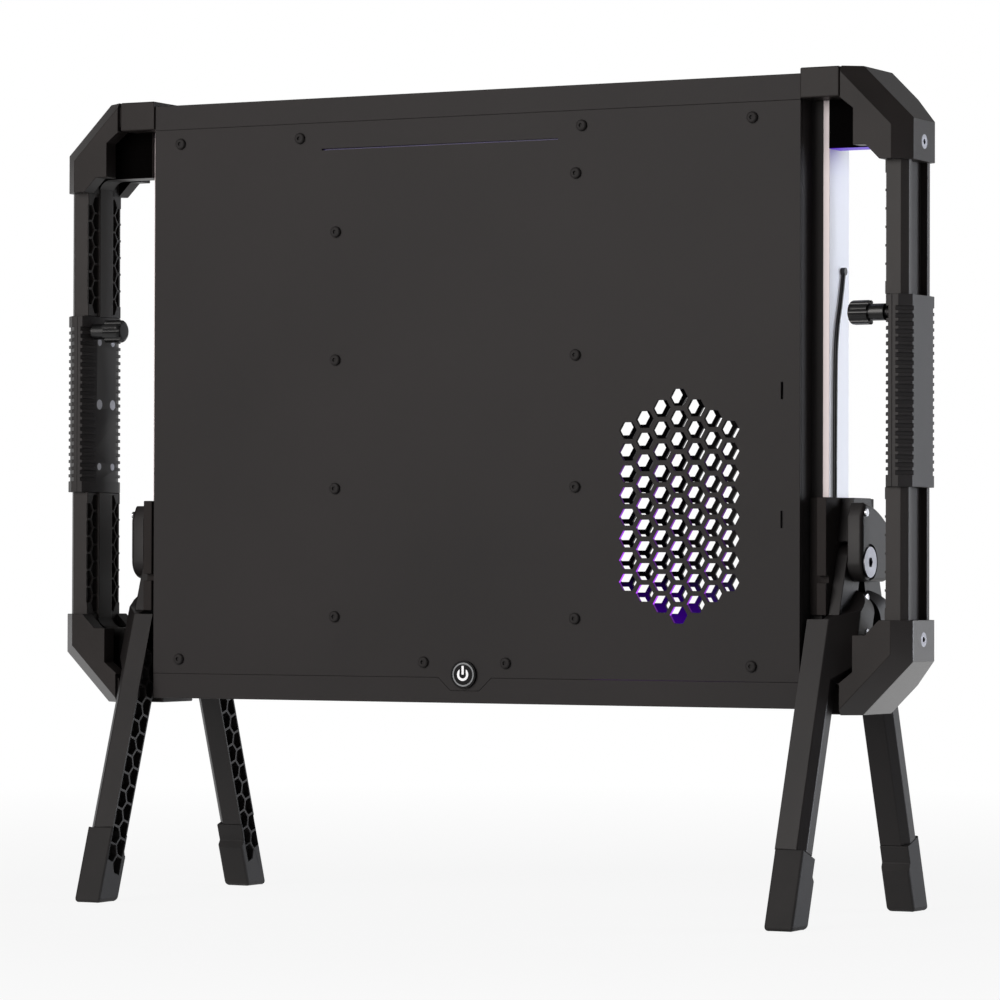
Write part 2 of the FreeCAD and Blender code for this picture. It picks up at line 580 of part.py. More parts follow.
lug_corners = [Vector(x, leg_out, z) for x, z in lug_corners]
lug_swell = (lug_corners[-1] + lug_corners[0]) * 0.5 + Vector(LUG_SWELL, 0, LUG_SWELL)
lug_rim = Part.Wire(Part.makePolygon(lug_corners).Edges
                    + [Part.Arc(lug_corners[-1], lug_swell, lug_corners[0]).toShape()])
lug = Part.Face(lug_rim).extrude(Vector(0, lug_back - leg_out, 0))
lug = lug.common(prism_x([(LUG_TOP, -LUG_START), (LUG_EDGE[0], -LUG_EDGE[1]), (leg_out, -LEG_START),
                          (leg_out, -lug_foot), (leg_back - LEG_CHAMFER, -lug_foot), (lug_back, -LUG_END),
                          (lug_back, -LUG_START)], lug_x0, lug_x1))
slant_x = leg_x1 - LEG_CHAMFER
lug = lug.common(prism_z([(lug_x0, leg_out), (slant_x, leg_out), (lug_x1, leg_out + lug_x1 - slant_x),
                          (lug_x1, lug_back), (lug_x0, lug_back)], -lug_foot, -LUG_START))
neck = join([rod_x(lug_x0, tongue_x1, 0, 0, 2 * neck_r),
             box(lug_x0, tongue_x1, -neck_r, neck_r, -NECK_L, 0)])
spigot_x = (leg_x0 + leg_x1) / 2
spigot_y = (leg_out + leg_back) / 2
spigot = box(spigot_x - SPIGOT / 2, spigot_x + SPIGOT / 2, spigot_y - SPIGOT / 2, spigot_y + SPIGOT / 2,
             -joint_s - SPIGOT_L, -joint_s)
leg = join([leg, lug, neck, spigot]).cut(rod_x(lug_x0, tongue_x1, 0, 0, pivot_hole_d))
cells = []
cell_outline = hexagon(LEG_CELL - CELL_WALL, 0)
cell_end = joint_s + FOOT_CELL_RUN
foot_x0 = leg_x0 - FOOT_GROW
cell_floor = leg_x0 + LEG_CELL_DEPTH
for side in (-1, 1):
    for k in range(int((cell_end - LEG_CELL_START) / LEG_CELL)):
        cy = spigot_y + side * LEG_CELL * math.sqrt(3) / 4
        cz = -LEG_CELL_START - (k + 0.25 * (side + 1)) * LEG_CELL
        cells.append(prism_x([(cy + a, cz + b) for a, b in cell_outline], foot_x0, cell_floor))
cells = Part.makeCompound(cells).common(box(foot_x0, cell_floor, leg_out + LEG_CELL_EDGE,
                                            leg_back - LEG_CELL_EDGE, -cell_end, -LEG_START - LEG_RAKE))
leg = leg.cut(cells)

# Feet: rubber shoes on the spigots, thicker on the side that faces the other leg, cut flat at the floor
foot_x1 = leg_x1 + FOOT_GROW
foot_end = joint_s + FOOT_H * 2
foot = prism_x([(leg_out - FOOT_GROW, -joint_s), (leg_out - FOOT_GROW, -foot_end),
                (leg_back + FOOT_STEP, -foot_end), (leg_back + FOOT_STEP, -joint_s - FOOT_STEP_DROP),
                (leg_back + FOOT_GROW, -joint_s - FOOT_STEP_DROP + FOOT_STEP),
                (leg_back + FOOT_GROW, -joint_s)], foot_x0, foot_x1)
long_edges = [e for e in foot.Edges if e.BoundBox.ZLength > FOOT_H]
foot = foot.makeFillet(FOOT_ROUND, long_edges).cut(spigot).cut(cells)


def splayed(shape):
    placed = shape.copy()
    placed.rotate(Vector(0, 0, 0), Vector(1, 0, 0), -SPLAY)
    placed.translate(Vector(0, -PIVOT_Y, pivot_z))
    return placed


back_leg = splayed(leg)
below_floor = box(foot_x0, foot_x1, -CASE_DEPTH * 2, CASE_DEPTH, -FOOT_H * 3, 0)
back_foot = splayed(foot).cut(below_floor)
save_pair(back_leg, "back_leg")
save_pair(mirror_y(back_leg), "front_leg")
save_pair(back_foot, "back_foot")
save_pair(mirror_y(back_foot), "front_foot")

# Opal side panels between the hinge and the top end block
diffuser_x = step_x + DIFFUSER_T
save_pair(box(step_x, diffuser_x, step_y, frame_y - DIFFUSER_GAP, hinge_z1, block_z0), "side_panel")

# Handle rails: grooved outside, with a spine and honeycomb pockets inside
rail_in = half_w + HANDLE_IN
rail_out = rail_in + HANDLE_W
bracket_out = half_w + BRACKET_OUT
bracket_z0 = block_z1 - BRACKET_H
hd = HANDLE_D / 2
hc = HANDLE_CHAMFER
hg = HANDLE_GROOVE_W / 2
outline = [(rail_in, -hd), (rail_out - hc, -hd), (rail_out, -hd + hc), (rail_out, -hg),
           (rail_out - HANDLE_GROOVE_D, -hg), (rail_out - HANDLE_GROOVE_D, hg), (rail_out, hg),
           (rail_out, hd - hc), (rail_out - hc, hd), (rail_in, hd), (rail_in, SPINE_W / 2),
           (rail_in - SPINE_H, SPINE_W / 2), (rail_in - SPINE_H, -SPINE_W / 2), (rail_in, -SPINE_W / 2)]
handle_z1 = bracket_z0 + SOCKET_DEPTH
handle_z0 = 2 * mid_z - handle_z1
handle = prism_z([(x, handle_y + y) for x, y in outline], handle_z0, handle_z1)
grip_mid = mid_z - GRIP_DROP
grip_z0 = grip_mid - GRIP_L / 2
grip_z1 = grip_mid + GRIP_L / 2
cells = []
cell_outline = hexagon(HANDLE_CELL - CELL_WALL, 0)
strip_y = (hd + SPINE_W / 2) / 2
for z0, z1 in ((2 * mid_z - bracket_z0, grip_z0), (grip_z1, bracket_z0)):
    count = int((z1 - z0) / HANDLE_CELL)
    for strip in (-1, 1):
        for row in (0, 1):
            for k in range(count - row):
                cy = handle_y + strip * (strip_y + (row - 0.5) * HANDLE_CELL * math.sqrt(3) / 2)
                cz = (z0 + z1) / 2 + (k - (count - 1 - row) / 2) * HANDLE_CELL
                cells.append(prism_x([(cy + a, cz + b) for a, b in cell_outline],
                                     rail_in, rail_in + CELL_DEPTH))
lip_y = hd - CELL_LIP
spine_y = SPINE_W / 2
fields = box(rail_in, rail_in + CELL_DEPTH, handle_y - lip_y, handle_y + lip_y, handle_z0, handle_z1)
fields = fields.fuse(box(rail_in, rail_in + CELL_LIP_DEPTH, handle_y - hd, handle_y + hd,
                         handle_z0, handle_z1))
spine = box(rail_in, rail_in + CELL_DEPTH, handle_y - spine_y, handle_y + spine_y, handle_z0, handle_z1)
handle = handle.cut(Part.makeCompound(cells).common(fields.cut(spine)))

# Corner brackets: chamfered elbows of two cheeks, with a narrower web between them and a handle socket
bracket_y0 = back_y - BRACKET_PROUD
bracket_y1 = frame_y + BRACKET_PROUD
top_end = block_x + BRACKET_TOP
diagonal = bracket_out - top_end
mouth_x = bracket_out - BRACKET_MOUTH
shoulder_x = block_x + BRACKET_SHOULDER_X
shelf_z = bracket_z0 + BRACKET_MOUTH_RISE
elbow = prism_y([(block_x, block_z1), (top_end, block_z1), (bracket_out, block_z1 - diagonal),
                 (bracket_out, bracket_z0), (mouth_x, bracket_z0), (mouth_x - BRACKET_MOUTH_RISE, shelf_z),
                 (shoulder_x, shelf_z), (shoulder_x, block_z0 - BRACKET_SHOULDER_Z), (block_x, block_z0)],
                bracket_y0, bracket_y1)
outer_edges = []
for edge in elbow.Edges:
    c = edge.CenterOfMass
    on_face = abs(c.y - bracket_y0) < 0.01
    on_side = abs(c.x - bracket_out) < 0.01
    on_diagonal = abs(c.x + c.z - top_end - block_z1) < 0.01
    if on_face and (on_side or on_diagonal):
        outer_edges.append(edge)
elbow = elbow.makeChamfer(BRACKET_CHAMFER, outer_edges)
elbow = elbow.cut(prism_z([(bracket_out, bracket_y1 - BRACKET_CHAMFER), (bracket_out, bracket_y1),
                           (bracket_out - BRACKET_BACK_CUT, bracket_y1)], bracket_z0, block_z1))
seam_x1 = block_x + BRACKET_SEAM
seam = box(block_x, seam_x1, bracket_y0, bracket_y1, block_z0, block_z1)
boss = box(block_x, seam_x1, bracket_y0 + BRACKET_SEAM_D, bracket_y1 - BRACKET_SEAM_D,
           block_z0 + BRACKET_SEAM_D, block_z1 - BRACKET_SEAM_D)
elbow = elbow.cut(seam.cut(boss))
roof_z = block_z1 - BRACKET_WALL
curve = BRACKET_MOUTH_RISE
hollow = [(mouth_x, bracket_z0), (mouth_x, roof_z - curve), (mouth_x - curve, roof_z), (block_x, roof_z)]
elbow = elbow.cut(prism_y(hollow + [(block_x, bracket_z0)], handle_y - BRACKET_POCKET_W / 2,
                          handle_y + BRACKET_POCKET_W / 2))
web_y0 = handle_y - BRACKET_WEB_W / 2
web_y1 = handle_y + BRACKET_WEB_W / 2


def web(x0):
    corners = hollow + [(block_x, block_z0), (x0, block_z0), (x0, shelf_z), (mouth_x - curve, shelf_z)]
    corners = [Vector(x, web_y0, z) for x, z in corners]
    bend = Vector(mouth_x - curve * (1 - math.sqrt(0.5)), web_y0, shelf_z - curve * (1 - math.sqrt(0.5)))
    rim = Part.Wire(Part.makePolygon(corners).Edges + [Part.Arc(corners[-1], bend, corners[0]).toShape()])
    return Part.Face(rim).extrude(Vector(0, web_y1 - web_y0, 0))


top_elbow = join([elbow, web(diffuser_x + SIDE_PLAY)]).cut(handle)
bottom_elbow = join([elbow, web(lug_x1 + SIDE_PLAY)]).cut(handle)
corner_screw_z = bracket_z0 + BRACKET_SCREW_RISE
cone_h = SCREW_HEAD_H * 1.5
cone_x = bracket_out - cone_h
corner_screw = Part.makeCone(SCREW_D / 2, BRACKET_SCREW_D / 2, cone_h,
                             Vector(cone_x, handle_y, corner_screw_z), Vector(1, 0, 0))
corner_screw = join([corner_screw, rod_x(bracket_out - BRACKET_SCREW_L, cone_x, handle_y, corner_screw_z,
                                         SCREW_D)])
corner_hex = [(handle_y + a, corner_screw_z + b) for a, b in hexagon(SCREW_SOCKET * 1.3, 0)]
top_elbow = top_elbow.cut(corner_screw)
bottom_elbow = bottom_elbow.cut(corner_screw)
handle = handle.cut(corner_screw).cut(mirror_z(corner_screw))
corner_screw = corner_screw.cut(prism_x(corner_hex, bracket_out - SCREW_HEAD_H, bracket_out))
save_pair(top_elbow, "top_bracket")
save_pair(mirror_z(bottom_elbow), "bottom_bracket")
right_corner_screws = [corner_screw, mirror_z(corner_screw)]
save(Part.makeCompound(right_corner_screws + [mirror_x(s) for s in right_corner_screws]), "corner_screws")

# Hand grips: two halves closed round the rail, with ribs on the slanted faces
grip_in = rail_in - GRIP_INSET
grip_out = grip_in + GRIP_W
seat_x = grip_in + GRIP_WALL
handle = handle.cut(box(rail_in - SPINE_H, seat_x, handle_y - hd, handle_y + hd, grip_z0, grip_z1))
gd = GRIP_D / 2
ox = grip_out - GRIP_OUT_CHAMFER
oy = gd - GRIP_OUT_CHAMFER
ix = grip_in + GRIP_IN_CHAMFER_X
iy = gd - GRIP_IN_CHAMFER_Y
grip_outline = [(ix, -gd), (ox, -gd), (grip_out, -oy), (grip_out, oy), (ox, gd), (ix, gd), (grip_in, iy),
                (grip_in, -iy)]
grip = prism_z([(x, handle_y + y) for x, y in grip_outline], grip_z0, grip_z1)
outer_run = RIB_DEPTH * math.sqrt(2)
inner_run = RIB_DEPTH * math.hypot(GRIP_IN_CHAMFER_X, GRIP_IN_CHAMFER_Y)
grooves = []
for k in range(RIB_COUNT):
    z = grip_mid + (k - (RIB_COUNT - 1) / 2) * RIB_PITCH
    z0 = z - RIB_GROOVE / 2
    z1 = z + RIB_GROOVE / 2
    for side in (-1, 1):
        outer = [(ox - outer_run, gd), (grip_out, oy - outer_run), (grip_out, gd)]
        inner = [(ix + inner_run / GRIP_IN_CHAMFER_Y, gd), (grip_in, iy - inner_run / GRIP_IN_CHAMFER_X),
                 (grip_in, gd)]
        for corner in (outer, inner):
            grooves.append(prism_z([(x, handle_y + side * y) for x, y in corner], z0, z1))
grip = grip.cut(Part.makeCompound(grooves)).cut(handle)
grip_screws = []
for y in (-GRIP_SCREW_Y, GRIP_SCREW_Y):
    for z, d in ((grip_mid, GRIP_SCREW_D), (grip_z0 + GRIP_SCREW_END, GRIP_SCREW_SMALL_D),
                 (grip_z1 - GRIP_SCREW_END, GRIP_SCREW_SMALL_D)):
        head = rod_x(grip_in, grip_in + GRIP_SCREW_HEAD, handle_y + y, z, d)
        shank = rod_x(grip_in + GRIP_SCREW_HEAD, grip_in + GRIP_SCREW_L, handle_y + y, z, GRIP_SCREW_SHANK)
        grip_screws.append(join([head, shank]))
grip = grip.cut(Part.makeCompound(grip_screws))
handle = handle.cut(Part.makeCompound(grip_screws))
knob_y = handle_y + KNOB_Y
knob_z = grip_z1 - KNOB_DROP
grip = grip.cut(rod_x(grip_in, seat_x, knob_y, knob_z, KNOB_STUD_D + 2 * KNOB_FIT))
seam_x = grip_in + GRIP_SEAM
save_pair(handle, "handle_rail")
save_pair(grip.common(box(grip_in, seam_x, bracket_y0, bracket_y1, grip_z0, grip_z1)), "grip_inner_half")
save_pair(grip.common(box(seam_x, grip_out, bracket_y0, bracket_y1, grip_z0, grip_z1)), "grip_outer_half")
save(Part.makeCompound(grip_screws + [mirror_x(s) for s in grip_screws]), "grip_screws")

# Clamp knobs: a fluted domed head on a neck, with a stud through the grip
neck_x = grip_in - KNOB_CLEAR
head_x1 = neck_x - KNOB_NECK
head_x0 = head_x1 - KNOB_HEAD
head = rod_x(head_x0, head_x1, knob_y, knob_z, KNOB_D)
dome = [e for e in head.Edges if abs(e.CenterOfMass.x - head_x0) < 0.01]
head = head.makeFillet(KNOB_D / 5, dome)
flutes = []
for k in range(KNOB_FLUTE_COUNT):
    a = 2 * math.pi * k / KNOB_FLUTE_COUNT
    flute_y = knob_y + KNOB_D / 2 * math.cos(a)
    flute_z = knob_z + KNOB_D / 2 * math.sin(a)
    flutes.append(rod_x(head_x0, head_x1, flute_y, flute_z, KNOB_FLUTE_D))
knob = join([head.cut(Part.makeCompound(flutes)), rod_x(head_x1, neck_x, knob_y, knob_z, KNOB_NECK_D),
             rod_x(neck_x, seat_x - KNOB_CLEAR, knob_y, knob_z, KNOB_STUD_D)])
save_pair(knob, "clamp_knob")

# Lead down the right side panel: from a small boot to the top of the hinge plate
lead_x = diffuser_x + LEAD_D / 2
route = [Vector(lead_x, y, z) for y, z in LEAD_POINTS] + [Vector(lead_x, LEAD_END_Y, hinge_z1)]
edges = []
start = route[0]
for before, corner, after in zip(route, route[1:], route[2:]):
    into = (corner - before).normalize()
    out = (after - corner).normalize()
    half_turn = into.getAngle(out) / 2
    reach = 0.45 * min((corner - before).Length, (after - corner).Length)
    enter = corner - into * reach
    leave = corner + out * reach
    radius = reach / math.tan(half_turn)
    centre = corner + (out - into).normalize() * (radius / math.cos(half_turn))
    middle = centre + (corner - centre).normalize() * radius
    edges += [Part.LineSegment(start, enter).toShape(), Part.Arc(enter, middle, leave).toShape()]
    start = leave
edges.append(Part.LineSegment(start, route[-1]).toShape())
first_run = (route[1] - route[0]).normalize()
tip = Part.Wire([Part.makeCircle(LEAD_D / 2, route[0], first_run)])
boot = rod_x(diffuser_x, diffuser_x + LEAD_D, route[0].y, route[0].z, BOOT_D)
lead = Part.Wire(edges).makePipeShell([tip], True, False)
save(lead.cut(boot), "side_lead")
save(boot, "lead_boot")
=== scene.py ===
import json
import math

import bmesh
import bpy
from mathutils import Euler, Matrix, Vector


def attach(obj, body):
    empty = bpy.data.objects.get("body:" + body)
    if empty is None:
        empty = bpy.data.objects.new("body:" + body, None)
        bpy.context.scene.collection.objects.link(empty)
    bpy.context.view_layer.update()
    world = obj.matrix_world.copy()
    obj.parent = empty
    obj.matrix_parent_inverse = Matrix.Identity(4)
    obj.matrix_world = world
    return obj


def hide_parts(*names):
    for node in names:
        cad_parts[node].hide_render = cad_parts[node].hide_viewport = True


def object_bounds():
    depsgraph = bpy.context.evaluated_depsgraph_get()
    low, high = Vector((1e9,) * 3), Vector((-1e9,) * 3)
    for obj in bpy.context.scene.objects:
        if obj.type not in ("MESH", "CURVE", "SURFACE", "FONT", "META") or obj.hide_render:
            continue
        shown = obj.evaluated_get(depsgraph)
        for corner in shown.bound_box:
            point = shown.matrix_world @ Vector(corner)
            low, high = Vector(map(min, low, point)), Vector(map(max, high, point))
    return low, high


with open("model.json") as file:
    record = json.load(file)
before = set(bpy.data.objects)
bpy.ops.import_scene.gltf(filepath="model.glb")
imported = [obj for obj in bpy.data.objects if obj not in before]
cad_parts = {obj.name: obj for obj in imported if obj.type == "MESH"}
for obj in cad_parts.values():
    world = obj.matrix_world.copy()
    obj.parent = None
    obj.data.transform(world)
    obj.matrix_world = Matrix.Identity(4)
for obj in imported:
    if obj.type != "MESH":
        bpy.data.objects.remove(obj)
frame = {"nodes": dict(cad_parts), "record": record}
cad_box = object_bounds()

# Camera: a long lens on a low stand, to the right of the back panel, looking very slightly upwards.
# Colours are shown as they are written.
scene = bpy.context.scene
scene.view_settings.view_transform = "Standard"
CAMERA_PLACE = (1.4620, -2.7830, 0.2253)
CAMERA_YAW = 27.70
CAMERA_PITCH = 90.891
CAMERA_ROLL = 0.1645
CAMERA_LENS = 167.4
CAMERA_SENSOR = 36.0
bpy.ops.object.select_all(action="DESELECT")
bpy.ops.object.camera_add(location=CAMERA_PLACE)
camera = bpy.context.object
camera.data.sensor_width = CAMERA_SENSOR
camera.data.lens = CAMERA_LENS
turn = Euler((math.radians(CAMERA_PITCH), 0, math.radians(CAMERA_YAW))).to_matrix()
roll = Matrix.Rotation(math.radians(CAMERA_ROLL), 3, "Z")
camera.rotation_euler = (turn @ roll).to_euler()
scene.camera = camera

# Case frame: the top and bottom rails and the two uprights, cut and folded from aluminium sheet.
# They are powder coated in a satin warm grey: a fine orange peel, and a slow drift of tone over a sheet.
# The cut edges are broken before coating, so each joint between two sheets shows as a fine groove.
MM = 0.001
GRAIN_SHARE = 0.3
GLOSS_SPREAD = 0.06
BUMP_SHARE = 0.5
NOISE_LOW, NOISE_HIGH = 0.3, 0.7


def linear(hex_colour):
    channels = [int(hex_colour[i:i + 2], 16) / 255 for i in (1, 3, 5)]
    return [c / 12.92 if c <= 0.04045 else ((c + 0.055) / 1.055) ** 2.4 for c in channels] + [1.0]


def add_node(tree, kind, settings=None, links=None):
    """Adds a node. Each setting or link goes to the input of that name or number, or else to the node."""
    node = tree.nodes.new(kind)
    for name, value in (settings or {}).items():
        if isinstance(name, int) or name in node.inputs.keys():
            node.inputs[name].default_value = value
        else:
            setattr(node, name, value)
    for name, source in (links or {}).items():
        tree.links.new(source, node.inputs[name])
    return node


# The peel of a powder coat is about 1 mm across. The grain of the other finishes here is far finer than
# that and wouldn't show, so it is drawn coarser than the real one, at 0.5 to 1.2 mm.
def grained_finish(name, dark, light, roughness, grain_mm, height_mm, patch_mm, **shader):
    """A coat or moulding: soft patches between two tones, and a fine grain in its height and gloss."""
    material = bpy.data.materials.new(name)
    material.use_nodes = True
    tree = material.node_tree
    coat = tree.nodes["Principled BSDF"]
    for socket, value in shader.items():
        coat.inputs[socket.replace("_", " ")].default_value = value
    place = add_node(tree, "ShaderNodeTexCoord").outputs["Object"]
    patches = add_node(tree, "ShaderNodeTexNoise", {"Scale": 1 / (patch_mm * MM), "Detail": 3.0},
                       {"Vector": place})
    grain = add_node(tree, "ShaderNodeTexNoise", {"Scale": 1 / (grain_mm * MM), "Detail": 2.0},
                     {"Vector": place})
    tone = add_node(tree, "ShaderNodeMix", {"data_type": "FLOAT", 0: GRAIN_SHARE},
                    {2: patches.outputs["Fac"], 3: grain.outputs["Fac"]})
    ramp = add_node(tree, "ShaderNodeValToRGB", links={"Fac": tone.outputs[0]})
    ramp.color_ramp.elements[0].position = NOISE_LOW
    ramp.color_ramp.elements[0].color = linear(dark)
    ramp.color_ramp.elements[1].position = NOISE_HIGH
    ramp.color_ramp.elements[1].color = linear(light)
    tree.links.new(ramp.outputs["Color"], coat.inputs["Base Color"])
    gloss = add_node(tree, "ShaderNodeMapRange",
                     {"To Min": roughness - GLOSS_SPREAD, "To Max": roughness + GLOSS_SPREAD},
                     {"Value": grain.outputs["Fac"]})
    tree.links.new(gloss.outputs["Result"], coat.inputs["Roughness"])
    bump = add_node(tree, "ShaderNodeBump", {"Strength": BUMP_SHARE, "Distance": height_mm * MM},
                    {"Height": grain.outputs["Fac"]})
    tree.links.new(bump.outputs["Normal"], coat.inputs["Normal"])
    return material


WELD_MM = 0.005
FLAT_TURN = math.radians(0.5)
SMOOTH_TURN = math.radians(34)
SHARP_TURN = math.radians(35)
ROOM_FOR_EDGE = 2.5
SOLE_LEVEL_MM = 0.2
SOLE_STEPS = 4
EDGE_STEPS = 2


def eased(node, material, edge_mm, sole_mm=0.0):
    """A copy of a solid with its sharp edges eased, and rounder on the floor, which stands for that solid."""
    source = frame["nodes"][node]
    piece = bpy.data.objects.new(node + "_eased", source.data.copy())
    scene.collection.objects.link(piece)
    bpy.ops.object.select_all(action="DESELECT")
    piece.select_set(True)
    bpy.context.view_layer.objects.active = piece
    bpy.ops.mesh.customdata_custom_splitnormals_clear()
    bpy.ops.object.mode_set(mode="EDIT")
    bpy.ops.mesh.select_all(action="SELECT")
    bpy.ops.mesh.remove_doubles(threshold=WELD_MM * MM)
    bpy.ops.mesh.dissolve_limited(angle_limit=FLAT_TURN)
    bpy.ops.object.mode_set(mode="OBJECT")
    bpy.ops.object.shade_smooth_by_angle(angle=SMOOTH_TURN)
    work = bmesh.new()
    work.from_mesh(piece.data)
    if sole_mm:
        sole = [edge for edge in work.edges if max(vert.co.z for vert in edge.verts) < SOLE_LEVEL_MM * MM]
        bmesh.ops.bevel(work, geom=sole, offset=sole_mm * MM, segments=SOLE_STEPS, profile=0.5,
                        affect="EDGES")
    # An edge is eased where both of its faces are wide enough for it.
    weight = work.edges.layers.float.new("bevel_weight_edge")
    for edge in work.edges:
        if len(edge.link_faces) == 2 and edge.calc_face_angle() > SHARP_TURN:
            spans = [2 * face.calc_area() / face.calc_perimeter() for face in edge.link_faces]
            edge[weight] = float(min(spans) > ROOM_FOR_EDGE * edge_mm * MM)
    work.to_mesh(piece.data)
    work.free()
    edges = piece.modifiers.new("eased_edges", "BEVEL")
    edges.width = edge_mm * MM
    edges.segments = EDGE_STEPS
    edges.limit_method = "WEIGHT"
    edges.use_clamp_overlap = False
    edges.harden_normals = True
    bpy.ops.object.modifier_apply(modifier=edges.name)
    piece.data.materials.clear()
    piece.data.materials.append(material)
    bodies = frame["record"]["behaviour"]["bodies"]
    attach(piece, next(body for body, nodes in bodies.items() if node in nodes))
    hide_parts(node)
    return piece


POWDER_COAT = dict(dark="#2C2A2A", light="#322F2F", roughness=0.48, grain_mm=0.9, height_mm=0.05,
                   patch_mm=160, Specular_IOR_Level=0.14)
sheet_coat = grained_finish("powder_coated_sheet", **POWDER_COAT)
for sheet in ("top_rail", "bottom_rail", "left_upright", "right_upright"):
    eased(sheet, sheet_coat, edge_mm=0.5)

# Back panel and front cover: two large aluminium sheets in the same coat, screwed over the frame.
# The violet bar's light on the walls of the vent's holes that face it, and on the inside of the cover just
# above it, is painted light: a violet glow put into the coat itself.
FACING_NONE, FACING_FULL = 0.4, 0.95


def share_facing(tree, facing, ramps=()):
    """How far a face looks one way, times ramps: each is an axis, and where on it there is none and all."""
    place = add_node(tree, "ShaderNodeTexCoord")
    turned = add_node(tree, "ShaderNodeVectorMath", {"operation": "DOT_PRODUCT", 1: facing},
                      {0: place.outputs["Normal"]})
    axes = add_node(tree, "ShaderNodeSeparateXYZ", links={"Vector": place.outputs["Object"]})
    share = add_node(tree, "ShaderNodeMapRange", {"From Min": FACING_NONE, "From Max": FACING_FULL},
                     {"Value": turned.outputs["Value"]}).outputs["Result"]
    for axis, none, full in ramps:
        ramp = add_node(tree, "ShaderNodeMapRange", {"From Min": none, "From Max": full},
                        {"Value": axes.outputs[axis]})
        share = add_node(tree, "ShaderNodeMath", {"operation": "MULTIPLY"},
                         {0: share, 1: ramp.outputs["Result"]}).outputs[0]
    return share


def violet_glow(material, hue, strength, facing, ramps):
    """Painted light: a glow on the faces that look one way, inside the ramps, in place of light cast on them.
    """
    tree = material.node_tree
    finish = tree.nodes["Principled BSDF"]
    light = add_node(tree, "ShaderNodeValToRGB", links={"Fac": share_facing(tree, facing, ramps)})
    light.color_ramp.elements[0].color = linear("#000000")
    light.color_ramp.elements[1].color = linear(hue)
    tree.links.new(light.outputs["Color"], finish.inputs["Emission Color"])
    finish.inputs["Emission Strength"].default_value = strength
    return material


# Painted light: violet glow on the panel's hole walls.
panel_coat = violet_glow(grained_finish("panel_powder_coat", **POWDER_COAT), "#B048F0", strength=1.8,
                         facing=(0.87, 0.0, -0.5),
                         ramps=[("Z", 0.31, 0.20), ("X", 0.225, 0.115), ("X", 0.09, 0.10)])
eased("back_panel", panel_coat, edge_mm=0.3)
# Painted light: violet glow on the inside of the cover above the bar.
cover_coat = violet_glow(grained_finish("cover_powder_coat", **POWDER_COAT), "#34007A", strength=0.8,
                         facing=(0.0, -1.0, 0.0),
                         ramps=[("Z", 0.222, 0.190), ("Y", 0.0483, 0.0478)])
eased("front_cover", cover_coat, edge_mm=0.3)


# Panel screws: steel button heads that hold the back panel and the front cover.
# They are dipped in the same coat as the sheets, a shade darker, which has half filled their sockets.
def finish_node(material, *nodes):
    for node in nodes:
        mesh = frame["nodes"][node].data
        mesh.materials.clear()
        mesh.materials.append(material)


coated_screw = grained_finish("coated_screw", "#2A2828", "#302E2E", roughness=0.5, grain_mm=0.6,
                              height_mm=0.04, patch_mm=6, Specular_IOR_Level=0.1)
finish_node(coated_screw, "back_panel_screws", "front_cover_screws")

# Tray: two bars and a plate of aluminium, left as they come from the mill, in a dull streaky grey.
# Brass standoffs, turned and screwed into the plate, carry the board.
mill_aluminium = grained_finish("mill_aluminium", "#8E8F92", "#A2A3A6", roughness=0.38, grain_mm=1.2,
                                height_mm=0.03, patch_mm=30, Metallic=1.0)
finish_node(mill_aluminium, "left_tray_bar", "right_tray_bar", "motherboard_tray")
turned_brass = grained_finish("turned_brass", "#A98746", "#C0A058", roughness=0.3, grain_mm=0.8,
                              height_mm=0.02, patch_mm=10, Metallic=1.0)
finish_node(turned_brass, "motherboard_standoffs")

# Light bars: strips of violet lamps behind opal plastic, each lamp a brighter patch.
# The one behind the slot is all but out, and the one below the front vent is bright.
LAMP_ROUGHNESS = 0.35


def lit_plastic(name, dim, bright, strength, patch_mm):
    """Lit opal plastic: soft patches of brighter and dimmer light in the thickness of the plastic."""
    material = bpy.data.materials.new(name)
    material.use_nodes = True
    tree = material.node_tree
    opal = tree.nodes["Principled BSDF"]
    opal.inputs["Roughness"].default_value = LAMP_ROUGHNESS
    opal.inputs["Emission Strength"].default_value = strength
    place = add_node(tree, "ShaderNodeTexCoord").outputs["Object"]
    glow = add_node(tree, "ShaderNodeTexNoise", {"Scale": 1 / (patch_mm * MM), "Detail": 1.0},
                    {"Vector": place})
    ramp = add_node(tree, "ShaderNodeValToRGB", links={"Fac": glow.outputs["Fac"]})
    ramp.color_ramp.elements[0].color = linear(dim)
    ramp.color_ramp.elements[1].color = linear(bright)
    tree.links.new(ramp.outputs["Color"], opal.inputs["Base Color"])
    tree.links.new(ramp.outputs["Color"], opal.inputs["Emission Color"])
    return material


dim_violet_lamp = lit_plastic("dim_violet_lamp", "#160A34", "#2A1460", strength=0.25, patch_mm=20)
finish_node(dim_violet_lamp, "slot_light_bar")
bright_violet_lamp = lit_plastic("bright_violet_lamp", "#4A14B8", "#7A30FF", strength=30.0, patch_mm=9)
finish_node(bright_violet_lamp, "vent_light_bar")

# Power button: an aluminium bezel and cap, anodised a deep dull black, held by a nut behind the panel.
# The ring between them and the symbol on the cap are opal plastic, lit from behind: the ring is dim, and
# the symbol is bright.
black_anodised = grained_finish("black_anodised", "#101011", "#19191A", roughness=0.35, grain_mm=0.5,
                                height_mm=0.03, patch_mm=12, Specular_IOR_Level=0.08)
finish_node(black_anodised, "power_switch")
eased("power_button_bezel", black_anodised, edge_mm=0.35)
eased("power_button_cap", black_anodised, edge_mm=0.4)
white_lamp = lit_plastic("white_lamp", "#D8D8DC", "#F0F0F0", strength=0.45, patch_mm=4)
finish_node(white_lamp, "power_button_symbol")
dim_white_lamp = lit_plastic("dim_white_lamp", "#6C6E70", "#888A8C", strength=0.25, patch_mm=4)
finish_node(dim_white_lamp, "power_button_ring")
